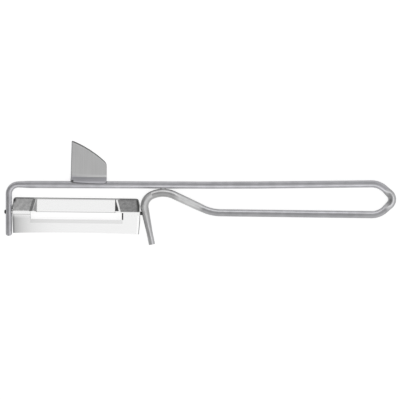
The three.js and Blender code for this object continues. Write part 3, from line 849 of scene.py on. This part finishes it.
def dress_wire(mesh, lengths, skins):
    """Gives the wire its finish and its unrolled skin, in lengths along it and turns round it from its
    painted highlight line, with its painted shading shifts and its cast and painted dimming."""
    unrolled, shade_shifts, tint_and_shade = [], [], []
    for length, skin in zip(lengths, skins):
        for side in range(WIRE_SIDES):
            unrolled.append((length / SKIN_LENGTH, side / WIRE_SIDES - skin.shine / 360 + 0.5))
            shade_shifts.append((skin.turned, skin.lift))
            tint_and_shade.append((skin.violet, skin.dim))
    dress(mesh, [wire_finish()], Skin=unrolled, Wear=shade_shifts, Cast=tint_and_shade)
    # The last face of each ring closes it, and there the turn goes on instead of starting again.
    carried = mesh.uv_layers["Skin"].data
    end_faces = 2
    for k in range(WIRE_SIDES - 1, len(mesh.polygons) - end_faces, WIRE_SIDES):
        for loop in mesh.polygons[k].loop_indices:
            number = mesh.loops[loop].vertex_index
            if number % WIRE_SIDES == 0:
                length, turn = unrolled[number]
                carried[loop].uv = (length, turn + 1)


def build_wire():
    points, lengths, skins = [], [], []
    last = None
    for station, scale, shift in wire_rings():
        left = Vector((-station.direction.y, station.direction.x))
        centre = station.at + station.direction * shift
        lengths.append(lengths[-1] + (centre - last).length if lengths else 0)
        skins.append(station.skin)
        last = centre
        for side, up in wire_section(station.skin):
            flat_place = centre + left * side * scale
            points.append(place(flat_place.x, flat_place.y, up * scale))
    faces = tube_faces(len(points), WIRE_SIDES)
    piece = new_piece("wire_frame_skin", points, faces, "frame", "wire_frame")
    dress_wire(piece.data, lengths, skins)
    cut_bores(piece)


# Weld between the hook and the rail.

WELD_REACH = (1.3, 0.55, 0.95)  # along the rail, across it and up
WELD_ROWS = 18
WELD_SIDES = 28
WELD_LUMPINESS = 0.16
WELD_LUMPS = 2.3  # how many lumps there are, as the scale of their noise


def build_weld():
    """A lumpy bead squeezed out where the hook's crest is welded to the rail."""
    crest = hook_crest_centre() + Vector((0, HOOK_CREST_RADIUS + HOOK_WIDTH / 2 + HOOK_GAP / 2))
    points = []
    for j in range(WELD_ROWS):
        polar = pi * (j + 0.5) / WELD_ROWS
        out = sin(polar)
        for angle in round_angles(WELD_SIDES):
            ball = Vector((cos(polar), out * cos(angle), out * sin(angle)))
            swell = 1 + WELD_LUMPINESS * noise.noise(ball * WELD_LUMPS)
            lump = Vector(a * b for a, b in zip(WELD_REACH, ball)) * swell
            points.append(place(crest.x + lump.x, crest.y + lump.y, lump.z))
    faces = tube_faces(len(points), WELD_SIDES)
    piece = new_piece("hook_weld", points, faces, "frame")
    dress(piece.data, [weld_finish()])


# Eye remover.

EYE_GROUND_WIDTH = 0.5  # outer part of the bevel, ground steeper
EYE_GROUND_DEPTH = EYE_BEVEL_DEPTH * 2 / 3  # how much of the bevel's depth that part takes
EYE_FOOT_SKEW = 0.95  # how much further the foot's edge is set back at its left end
EYE_EDGE_ROUND = 0.12
EYE_FOOT_ROUND_START = EYE_EDGE_ROUND / 3  # how far in the rounding starts at the foot's edge
EYE_BEND_END = 6  # length along the sheet at which it is flat again
EYE_SIDE_COLUMNS = [0, 0.04, 0.1, 0.2, 0.36, 0.55, 0.8, 1.1, 1.5]  # from either side
EYE_SIDE_WIDTH = 2  # the even columns in the middle start here
EYE_MIDDLE_COLUMNS = 26
EYE_FOLD_ROWS = 44
EYE_PLATE_ROWS = 14  # on the plain part of the plate, and as many again below the ground edge
EYE_PLAIN_SHARE = 0.9  # of the plate's height


def eye_edge_centre():
    point = Vector((EYE_LEAN, EYE_POINT_HEIGHT))
    heel = Vector((EYE_WIDTH, EYE_HEEL_HEIGHT))
    chord = heel - point
    sag = sqrt(EYE_EDGE_RADIUS**2 - chord.length_squared / 4)
    return (point + heel) / 2 + Vector((chord.y, -chord.x)).normalized() * sag


def eye_section(s):
    """Top of the folded sheet at a length s from the rail's top: y and z, and the normal there."""
    outer = WIRE_RADIUS + SEAT_GAP + EYE_SHEET
    eighth = pi / 4
    root = sqrt(0.5)
    arc = outer * eighth
    bend_arc = EYE_BEND_RADIUS * eighth
    bend_reach = EYE_BEND_RADIUS * tan(eighth / 2)
    slope = outer - bend_reach
    if s < arc:
        normal = Vector((sin(s / outer), cos(s / outer)))
        return outer * normal.x, outer * normal.y, normal
    if s < arc + slope:
        step = (s - arc) * root
        return outer * root + step, outer * root - step, Vector((root, root))
    bend_end = outer * sqrt(2) + bend_reach
    if s < arc + slope + bend_arc:
        angle = eighth - (s - arc - slope) / EYE_BEND_RADIUS
        normal = Vector((sin(angle), cos(angle)))
        return bend_end - normal.x * EYE_BEND_RADIUS, (1 - normal.y) * EYE_BEND_RADIUS, normal
    return bend_end + s - arc - slope - bend_arc, 0.0, Vector((0, 1))


def eye_top_at(x):
    """Height of the curved edge over the rail at x, with the heel rounded."""
    centre = eye_edge_centre()
    y = centre.y + sqrt(EYE_EDGE_RADIUS**2 - (x - centre.x) ** 2)
    return y - quarter_drop(EYE_WIDTH - x, EYE_HEEL_RADIUS)


def eye_layers(across, fold_rows, plate_rows):
    """Points of the plate's top and then its bottom, with their places on the unfolded sheet, and how far
    each one of the top lies in from the curved edge."""
    centre = eye_edge_centre()
    rail = rail_height_at(EYE_START + EYE_WIDTH / 2)
    lost_in_fold = EYE_POINT_HEIGHT - eye_section(EYE_POINT_HEIGHT)[0]
    top, bottom, unrolled, to_edges = [], [], [], []
    for x in across:
        to_side = min(x, EYE_WIDTH - x)
        skew = EYE_FOOT_SKEW * (1 - x / EYE_WIDTH) ** 2
        first = EYE_FOOT_SETBACK + skew + quarter_drop(to_side, EYE_FOOT_RADIUS)
        last = eye_top_at(max(x, EYE_LEAN)) + lost_in_fold
        lengths = [mix(first, EYE_BEND_END, k) for k in fold_rows]
        lengths += [mix(EYE_BEND_END, last, k) for k in plate_rows]
        for s in lengths:
            y, z, normal = eye_section(s)
            lean = EYE_LEAN * y / EYE_POINT_HEIGHT
            at_x = lean + x * (EYE_WIDTH - lean) / EYE_WIDTH
            to_edge = EYE_EDGE_RADIUS - (Vector((at_x, y)) - centre).length
            shallow = progress(to_edge, EYE_BEVEL_WIDTH, 0) * (EYE_BEVEL_DEPTH - EYE_GROUND_DEPTH)
            steep = progress(to_edge, EYE_GROUND_WIDTH, 0) * EYE_GROUND_DEPTH
            rounded = quarter_drop(min(to_side, s - first + EYE_FOOT_ROUND_START), EYE_EDGE_ROUND)
            for layer, depth in ((top, shallow + steep + rounded), (bottom, EYE_SHEET)):
                layer.append(place(EYE_START + at_x, rail + y - normal.x * depth, z - normal.y * depth))
            unrolled.append((x, s - skew))
            to_edges.append(to_edge)
    return top + bottom, unrolled * 2, to_edges


def build_eye_remover():
    """The folded plate: columns from left to right, with rows from the foot to the ground edge."""
    across = EYE_SIDE_COLUMNS + spread(EYE_SIDE_WIDTH, EYE_WIDTH - EYE_SIDE_WIDTH, EYE_MIDDLE_COLUMNS)
    across += [EYE_WIDTH - x for x in reversed(EYE_SIDE_COLUMNS)]
    fold_rows = spread(0, 1, EYE_FOLD_ROWS)
    plate_rows = spread(0, EYE_PLAIN_SHARE, EYE_PLATE_ROWS)[1:]
    plate_rows += spread(EYE_PLAIN_SHARE, 1, EYE_PLATE_ROWS)[1:]
    rows = len(fold_rows) + len(plate_rows)
    points, unrolled, to_edges = eye_layers(across, fold_rows, plate_rows)

    def is_shaded_ground(side, i, j):
        """Whether a face takes the dark finish: the ground edge, painted dark as shade, or the foot's cut
        edge, painted as a shade line.
        """
        if side == "edge":
            return j in (0, rows - 2)
        return side == "top" and to_edges[i * rows + j] < EYE_GROUND_WIDTH

    made = sheet_faces(len(across), rows, lambda i, j: True)
    faces = [face for face, *_ in made]
    # Faces painted dark as shade along the ground edge and the foot's cut edge.
    shaded_ground = [k for k, (_, *where) in enumerate(made) if is_shaded_ground(*where)]
    piece = new_piece("eye_remover_skin", points, faces, "frame", "eye_remover", sharp=24)
    dress(piece.data, [plate_finish(), ground_shade_finish()], shaded_ground, Plan=unrolled)


# Blade.

CREASE_ROUND = 0.32  # how softly the tabs bend into the guard
CREASE_SHIFT = 0.14  # how far in front of the cutting edge they do
FACET_TOP_ROUND = 0.08  # how softly the strip bends into its facets
LEFT_FOOT_ROUND = 0.6  # and the facets into their tabs
RIGHT_FOOT_ROUND = 0.34
RIGHT_FACET_SHIFT = 0.4  # how much further in the right facet starts
FACET_ROLL = 0.22  # how far the facets' front edges roll down
FACET_ROLL_REACH = 1  # over which width
FACET_ROLL_FADE = 0.4  # and in which length it fades out towards the strip
LEFT_BURR = 0.2  # how far the left end stands out behind its ear
LEFT_BURR_FRONT = (1.1, 1.4)  # between which places it grows, behind the pivot axis
LEFT_BURR_BACK = (3.5, 3.2)  # and the same from its other end
LEFT_BURR_LENGTH = 0.5  # in which it fades out along the blade
LEFT_END_ROUND = 0.3  # rolled-over edges of the blade's ends
RIGHT_END_ROUND = 0.7
SLOT_ROUND = 0.7  # and of the slot's ends
END_FADE = 5  # length in which the columns go from the ends' shape to straight
END_COLUMNS = [0, 0.02, 0.07, 0.14, 0.23, 0.34, 0.5, 0.8, 1.3, 2, 3, 4, 5, 6, 7, 7.7]  # from either end
SLOT_END_COLUMNS = 7
FACET_COLUMNS = 48
FACET_PAST = 0.6  # how far its columns go on into the strip
STRIP_COLUMNS = 14
RIM_ROWS = 8
ROW_COUNTS = (8, 8, 12, 6, 8)  # on the strip, its bevel, the slot, the lip and the guard
NEAR = 1e-6  # places that are closer count as the same


def end_draw_in(y, taper):
    """How far an end edge is drawn in from the ear at y."""
    back = progress(y, EAR_HALF_WIDTH, BACK_REACH - CORNER_RADIUS)
    front = progress(-y, EAR_HALF_WIDTH, GUARD_REACH)
    return taper * (back + front) + quarter_drop(BACK_REACH - y, CORNER_RADIUS)


def blade_height(x, y):
    """Top of the sheet above the pivot axis."""
    crease_y = EDGE_OFFSET - CREASE_SHIFT
    crown = CROWN_HEIGHT - CREASE_SHIFT * tan(GUARD_TILT)
    back = crown - (y - crease_y) * tan(BACK_TILT)
    guard = crown - (crease_y - y) * tan(GUARD_TILT)
    height = smooth_min(back, guard, CREASE_ROUND)
    if y >= EDGE_OFFSET:
        press = mix(BACK_PROUD, EDGE_PROUD, progress(y, BACK_REACH - BACK_RIM, EDGE_OFFSET))
        to_strip = min(x - STRIP_MARGIN, BLADE_LENGTH - STRIP_MARGIN - RIGHT_FACET_SHIFT - x)
        rise = press + to_strip * tan(FACET_TILT)
        foot_round = LEFT_FOOT_ROUND if x < BLADE_LENGTH / 2 else RIGHT_FOOT_ROUND
        raised = smooth_max(smooth_min(rise, press, FACET_TOP_ROUND), 0, foot_round)
        height = mix(height, back, progress(raised, 0, press)) + raised
        to_front = progress(y - EDGE_OFFSET, FACET_ROLL_REACH, 0)
        on_facet = progress(-to_strip, 0, FACET_ROLL_FADE) * progress(raised, 0, FACET_ROLL)
        height -= FACET_ROLL * to_front**2 * on_facet
    if LIP_BACK < y < EDGE_OFFSET:
        height -= quarter_drop(SLOT_END_MARGIN - min(x, BLADE_LENGTH - x), SLOT_ROUND)
    height -= quarter_drop(x - end_draw_in(y, LEFT_TAPER), LEFT_END_ROUND)
    height -= quarter_drop(BLADE_LENGTH - end_draw_in(y, RIGHT_TAPER) - x, RIGHT_END_ROUND)
    return height + BLADE_SHEET / 2 - quarter_drop(BACK_REACH - y, BACK_RIM)


def eased(count):
    """Shares from 0 to 1 that crowd towards 1."""
    return [sin(pi / 2 * k / count) for k in range(count + 1)]


def blade_columns():
    """Places along the blade: close together at the ends, the slot's ends and the facets."""
    slot_end = [SLOT_END_MARGIN - SLOT_ROUND * (1 - share) for share in eased(SLOT_END_COLUMNS)]
    facet_end = STRIP_MARGIN + FACET_PAST
    left = END_COLUMNS + slot_end + spread(SLOT_END_MARGIN, facet_end, FACET_COLUMNS)[1:]
    middle = spread(facet_end, BLADE_LENGTH - facet_end, STRIP_COLUMNS)[1:-1]
    return left + middle + [BLADE_LENGTH - x for x in reversed(left)]


def blade_rows():
    """Places across the blade, from its back edge to its front."""
    rim_top = BACK_REACH - BACK_RIM
    rows = [rim_top + BACK_RIM * share for share in reversed(eased(RIM_ROWS))]
    stops = [rim_top, EDGE_OFFSET + EDGE_BEVEL, EDGE_OFFSET, LIP_BACK, LIP_FRONT, -GUARD_REACH]
    for start, end, count in zip(stops, stops[1:], ROW_COUNTS):
        rows += spread(start, end, count)[1:]
    return rows


def blade_point(x, y):
    """A point of the sheet's top. Columns follow the ends, and the guard's rows its hollow front."""
    left = end_draw_in(y, LEFT_TAPER) * progress(x, END_FADE, 0)
    right = end_draw_in(y, RIGHT_TAPER) * progress(BLADE_LENGTH - x, END_FADE, 0)
    behind_ear = progress(y, *LEFT_BURR_FRONT) * progress(y, *LEFT_BURR_BACK)
    burr = LEFT_BURR * behind_ear * progress(x, LEFT_BURR_LENGTH, 0)
    at_x = x + left - right - burr
    middle = 1 - (2 * at_x / BLADE_LENGTH - 1) ** 2
    at_y = y + GUARD_HOLLOW * middle * progress(y, LIP_FRONT, -GUARD_REACH)
    return Vector((at_x, at_y, blade_height(at_x, at_y)))


def blade_layers(columns, rows):
    """Points of the sheet's top and then its bottom, with two pairs of numbers for each: its place along
    the blade and behind the pivot axis, and how far in it lies from the nearer end and the back edge."""
    grid = [[blade_point(x, y) for y in rows] for x in columns]
    normals = surface_normals(grid)
    bevel_back = EDGE_OFFSET + EDGE_BEVEL
    top, bottom, plan, rim = [], [], [], []
    for i, x in enumerate(columns):
        from_end = min(x, BLADE_LENGTH - x)
        over_slot = from_end >= SLOT_END_MARGIN - NEAR
        in_strip = progress(from_end, SLOT_END_MARGIN, STRIP_MARGIN)
        for j, y in enumerate(rows):
            shown = grid[i][j].copy()
            under = shown - normals[i][j] * BLADE_SHEET
            if over_slot and EDGE_OFFSET - NEAR <= y <= bevel_back:
                share = (bevel_back - y) / EDGE_BEVEL
                under = under.lerp(shown - Vector((0, 0, EDGE_LAND)), share * in_strip)
            if over_slot and LIP_FRONT <= y <= LIP_BACK + NEAR:
                shown.z -= (BLADE_SHEET - LIP_LAND) * (1 - (LIP_BACK - y) / LIP_WIDTH)
            top.append(blade_place(*shown))
            bottom.append(blade_place(*under))
            plan.append((shown.x, shown.y))
            rim.append((from_end, BACK_REACH - y))
    return top + bottom, plan * 2, rim * 2


def build_blade():
    columns, rows = blade_columns(), blade_rows()
    slot_left, slot_right = SLOT_END_MARGIN, BLADE_LENGTH - SLOT_END_MARGIN

    def within(i, left, right):
        return left - NEAR <= columns[i] and columns[i + 1] <= right + NEAR

    def beside_slot(j):
        return rows[j] <= EDGE_OFFSET + NEAR and rows[j + 1] >= LIP_BACK - NEAR

    def is_there(i, j):
        return not (within(i, slot_left, slot_right) and beside_slot(j))

    def is_shaded_edge(side, i, j):
        """Whether a face takes the dark finish: a cut edge, or the rolled top at the slot's right end,
        where it paints a shade line.
        """
        rolled = within(i, slot_right, slot_right + SLOT_ROUND)
        return side == "edge" or (side == "top" and rolled and beside_slot(j))

    made = sheet_faces(len(columns), len(rows), is_there)
    used = sorted({n for face, *_ in made for n in face})
    renumber = {n: k for k, n in enumerate(used)}
    points, plan, rim = ([layer[n] for n in used] for layer in blade_layers(columns, rows))
    faces = [tuple(renumber[n] for n in face) for face, *_ in made]
    # Faces painted dark as shade: the cut edges and the rolled top at the slot's right end.
    shaded_edges = [k for k, (_, *where) in enumerate(made) if is_shaded_edge(*where)]
    for start, inward in ((0, 1), (BLADE_LENGTH, -1)):
        ear_points, ear_faces = ear(start, inward)
        faces += [tuple(n + len(points) for n in face) for face in ear_faces]
        points += ear_points
        plan += [(start, 0)] * len(ear_points)
        rim += [(0, BACK_REACH)] * len(ear_points)
    piece = new_piece("blade_skin", points, faces, "blade_unit", "blade", sharp=20)
    dress(piece.data, [blade_finish(), sheared_shade_finish()], shaded_edges, Plan=plan, Rim=rim)


# Ears of the blade.

EAR_SIDES = 48
EAR_INSET = 0.06  # how far its outer face lies in from the blade's end
EAR_SHOULDER = 3  # how high its sides go up before they turn in under the sheet


def ear(start, inward):
    """The ear folded down at one end of the blade, with the hole for its pin."""
    hole_radius = PIN_RADIUS + SEAT_GAP
    on_tab = BLADE_LENGTH / 8  # where the sheet over it is plain

    def outline_point(angle):
        c, s = cos(angle), sin(angle)
        if s <= 0:
            return c * EAR_RADIUS, s * EAR_RADIUS
        y = c * mix(EAR_RADIUS, EAR_HALF_WIDTH, sqrt(s))
        roof = blade_height(on_tab, min(y, EDGE_OFFSET)) - BLADE_SHEET / 2
        return y, min(roof, s * EAR_SHOULDER)

    angles = round_angles(EAR_SIDES)
    outline = [outline_point(angle) for angle in angles]
    hole = [(hole_radius * cos(angle), hole_radius * sin(angle)) for angle in angles]
    layers = [(EAR_INSET, outline), (BLADE_SHEET, outline), (BLADE_SHEET, hole), (EAR_INSET, hole)]
    points = [blade_place(start + inward * depth, y, z) for depth, ring in layers for y, z in ring]
    return points, ring_faces([0, 1, 2, 3, 0], EAR_SIDES)


# Pivot pins.

PIN_SIDES = 48
PIN_TIP_FLAT = 0.05  # radius of the face that closes the right pin's tip
# Rounded ends, as shares of their height and radius.
RIVET_DOME = [(1, 0.05), (0.96, 0.45), (0.75, 0.82), (0.4, 1), (0, 1)]
BUTTON_DOME = [(0, 0.96), (0.2, 1), (0.55, 0.92), (0.85, 0.68), (1, 0.32), (1, 0.05)]


def build_pin(side, start, outward, outer_profile, finishes):
    """A pin riveted in an ear, with an outer profile of (distance out of the ear, radius) pairs. The
    second finish covers the shank up to the first of them."""
    head = BLADE_SHEET + SEAT_GAP
    profile = [(-head - PIN_RIVET_HEIGHT * h, PIN_RIVET_RADIUS * r) for h, r in RIVET_DOME]
    profile += [(-head, PIN_RADIUS), *outer_profile]
    points, faces = turned([(start + outward * x, r) for x, r in profile], PIN_SIDES)
    node = f"{side}_pivot_pin"
    piece = new_piece(f"{node}_skin", points, faces, "blade_unit", node)
    shank_start = len(RIVET_DOME) * PIN_SIDES
    dress(piece.data, finishes, range(shank_start, shank_start + PIN_SIDES))


def build_pins():
    """The left pin goes through its arm and is bright up to its middle; the right one is dark."""
    dark = pin_finish("dark_pin", 0.03, 0.12)
    bright = pin_finish("bright_shank", 0.6, 0.8)
    outside = LEFT_END_GAP + ARM_WIDTH + SEAT_GAP
    button = [(outside + PIN_BUTTON_HEIGHT * h, PIN_BUTTON_RADIUS * r) for h, r in BUTTON_DOME]
    shank = [(LEFT_END_GAP + ARM_WIDTH / 2, PIN_RADIUS), (outside, PIN_RADIUS)]
    build_pin("left", 0, -1, shank + button, [dark, bright])
    end = RIGHT_END_GAP + RIGHT_PIN_DEPTH
    chamfer = [(end - PIN_END_CHAMFER, PIN_RADIUS), (end, PIN_RADIUS - PIN_END_CHAMFER)]
    build_pin("right", BLADE_LENGTH, 1, chamfer + [(end, PIN_TIP_FLAT)], [dark, dark])


# Stage: floor, world and camera.

PHOTO_WIDTH = 189.6  # millimetres that the photo's frame spans at the wire's plane
PHOTO_CENTRE = (90.6, -7.4)  # the photo's middle, from the left arm and the rail
CAMERA_HEIGHT = 0.9
SENSOR_WIDTH = 36
FLOOR_SIZE = 6
FLOOR_LEVEL = -0.00002
FLOOR_TONE = 0.35
FLOOR_ROUGHNESS = 0.9
FLOOR_GLOW = 0.7  # how much of the floor's white doesn't depend on the light
FLOOR_SEEN_GLOW = 0.1  # and how much more of it where it is seen directly
HORIZON_TONE = 0.45
HORIZON_BAND = (8, 30)  # degrees up over which the dim band at the horizon fades out
# Dark cards in the light tent, seen from the object: heading from +X towards +Y, lean from straight up,
# radius of the even part and radius at which it has faded out, all in degrees, and tone.
CARDS = [
    (76, 12, 6, 12, 0.28),
    (29, 53, 8, 12, 0.06),
    (160, 25, 14, 20, 0.19),
    (165, 60, 15, 20, 0.34),
]


def floor_finish():
    """White that glows where rays see it, so that its shadow is faint."""
    white = Finish("white_floor", metallic=0)
    levels = {"Camera": FLOOR_GLOW + FLOOR_SEEN_GLOW, "Glossy": FLOOR_GLOW, "Transmission": FLOOR_GLOW}
    glow = 0
    for ray, level in levels.items():
        seen = white.value("ShaderNodeLightPath", output=f"Is {ray} Ray")
        glow = white.math("MULTIPLY_ADD", seen, level, glow)
    white.feed(0, "Specular IOR Level")
    white.feed(grey(1), "Emission Color")
    white.feed(glow, "Emission Strength")
    return white.done(grey(FLOOR_TONE), FLOOR_ROUGHNESS)


def build_floor():
    half = FLOOR_SIZE / 2
    corners = [(-half, -half), (half, -half), (half, half), (-half, half)]
    floor = new_object("floor", [(x, y, FLOOR_LEVEL) for x, y in corners], [(0, 1, 2, 3)])
    dress(floor.data, [floor_finish()])


def build_world():
    """A white light tent with dark cards in it, and a dim band above the horizon."""
    world = bpy.data.worlds.new("light_tent")
    scene.world = world
    world.use_nodes = True
    nodes = Nodes(world.node_tree)
    direction = nodes.value("ShaderNodeTexCoord", output="Generated")

    def facing(vector):
        inputs = (direction, vector)
        return nodes.value("ShaderNodeVectorMath", inputs, "Value", operation="DOT_PRODUCT")

    band_low, band_high = (sin(radians(angle)) for angle in HORIZON_BAND)
    light = facing((0, 0, 1)).share(band_low, band_high, HORIZON_TONE, 1)
    for *angles, tone in CARDS:
        heading, lean, inner, outer = (radians(angle) for angle in angles)
        towards = (sin(lean) * cos(heading), sin(lean) * sin(heading), cos(lean))
        light = light.at_most(facing(towards).share(cos(outer), cos(inner), 1, tone))
    seen = nodes.value("ShaderNodeLightPath", output="Is Camera Ray")
    background = nodes.tree.nodes["Background"]
    nodes.fill(background.inputs["Color"], grey(1))
    nodes.fill(background.inputs["Strength"], light.at_least(seen))


def build_camera():
    data = bpy.data.cameras.new("camera")
    camera = bpy.data.objects.new("camera", data)
    scene.collection.objects.link(camera)
    middle = place(*PHOTO_CENTRE, 0)
    camera.location = (middle.x, middle.y, CAMERA_HEIGHT)
    data.sensor_width = SENSOR_WIDTH
    data.lens = SENSOR_WIDTH * (CAMERA_HEIGHT - middle.z) / (PHOTO_WIDTH * MM)
    scene.camera = camera


build_wire()
build_weld()
build_eye_remover()
build_blade()
build_pins()
build_floor()
build_world()
build_camera()

scene.view_settings.view_transform = "Standard"
